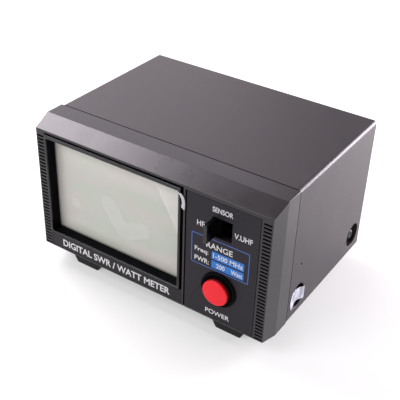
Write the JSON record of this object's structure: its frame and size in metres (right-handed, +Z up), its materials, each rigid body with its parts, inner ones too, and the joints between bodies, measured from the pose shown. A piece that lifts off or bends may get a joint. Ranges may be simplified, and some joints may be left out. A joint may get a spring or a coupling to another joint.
{
  "type": "swr meter",
  "caption": "Desktop radio power and standing-wave meter: folded steel case, moulded front with a large display, push power button, band slide switch and rear screw-on sockets.",
  "frame": {"origin": "middle of the footprint, on the plane that the four feet stand on", "axes": "+Z up; -Y is the display side, +Y the socket side; +X is to the right when facing the display"},
  "size_m": [0.1548, 0.1396, 0.095],
  "materials": {
    "moulded_black": "fine spark-textured moulding, satin",
    "panel_black": "smooth matt plate with printed white and blue legends",
    "surround_black": "smooth semi-gloss moulding",
    "powder_coat": "fine-textured powder coat on folded sheet steel",
    "tinned_steel": "bright tinned sheet, slightly dull",
    "black_rubber": "matt moulded rubber",
    "black_screw": "blackened steel",
    "red_button": "satin moulded plastic",
    "display_glass": "display polariser, unlit, grey-green",
    "light_guide": "milky light guide",
    "circuit_board": "green solder resist",
    "clear_film": "thin clear film with a white pull tab",
    "seal_paper": "matt paper",
    "socket_nickel": "nickel plate",
    "white_fluoroplastic": "waxy off-white plastic",
    "contact_brass": "bright brass",
    "lead_jacket": "soft black jacket"
  },
  "bodies": {
    "case": {"front_bezel": "moulded_black", "control_panel": "panel_black", "title_strip": "panel_black", "display_surround": "surround_black", "power_collar": "surround_black", "power_nut": "surround_black", "power_switch": "surround_black", "selector_switch": "surround_black", "supply_inlet": "surround_black", "top_cover": "powder_coat", "chassis": "powder_coat", "coupler_can": "tinned_steel", "coupler_lid": "tinned_steel", "board_screw_1": "tinned_steel", "board_screw_2": "tinned_steel", "board_screw_3": "tinned_steel", "board_screw_4": "tinned_steel", "selector_screw_1": "tinned_steel", "selector_screw_2": "tinned_steel", "foot_front_left": "black_rubber", "foot_front_right": "black_rubber", "foot_rear_left": "black_rubber", "foot_rear_right": "black_rubber", "foot_screw_front_left": "black_screw", "foot_screw_front_right": "black_screw", "foot_screw_rear_left": "black_screw", "foot_screw_rear_right": "black_screw", "cover_screw_front_left": "black_screw", "cover_screw_front_right": "black_screw", "cover_screw_rear_left": "black_screw", "cover_screw_rear_right": "black_screw", "display_glass": "display_glass", "display_backlight": "light_guide", "display_board": "circuit_board", "coupler_board": "circuit_board", "transit_film": "clear_film", "paper_seal": "seal_paper", "transmitter_socket": "socket_nickel", "antenna_socket": "socket_nickel", "supply_inlet_nut": "socket_nickel", "transmitter_flange_screw_1": "socket_nickel", "transmitter_flange_screw_2": "socket_nickel", "transmitter_flange_screw_3": "socket_nickel", "transmitter_flange_screw_4": "socket_nickel", "antenna_flange_screw_1": "socket_nickel", "antenna_flange_screw_2": "socket_nickel", "antenna_flange_screw_3": "socket_nickel", "antenna_flange_screw_4": "socket_nickel", "transmitter_insulator": "white_fluoroplastic", "antenna_insulator": "white_fluoroplastic", "transmitter_contact": "contact_brass", "antenna_contact": "contact_brass", "coupler_line": "contact_brass", "sensor_lead": "lead_jacket", "power_lead": "lead_jacket"},
    "power_button": {"power_cap": "red_button", "power_plunger": "surround_black"},
    "band_selector": {"selector_knob": "surround_black", "selector_slider": "white_fluoroplastic"}
  },
  "joints": [
    {"name": "power_press", "type": "slide", "parent": "case", "child": "power_button", "axis": [0, 1, 0], "range_m": [0, 0.003], "stiffness_N_per_m": 600, "springref_m": -0.0015},
    {"name": "band_select", "type": "slide", "parent": "case", "child": "band_selector", "axis": [1, 0, 0], "range_m": [0, 0.0092]}
  ]
}
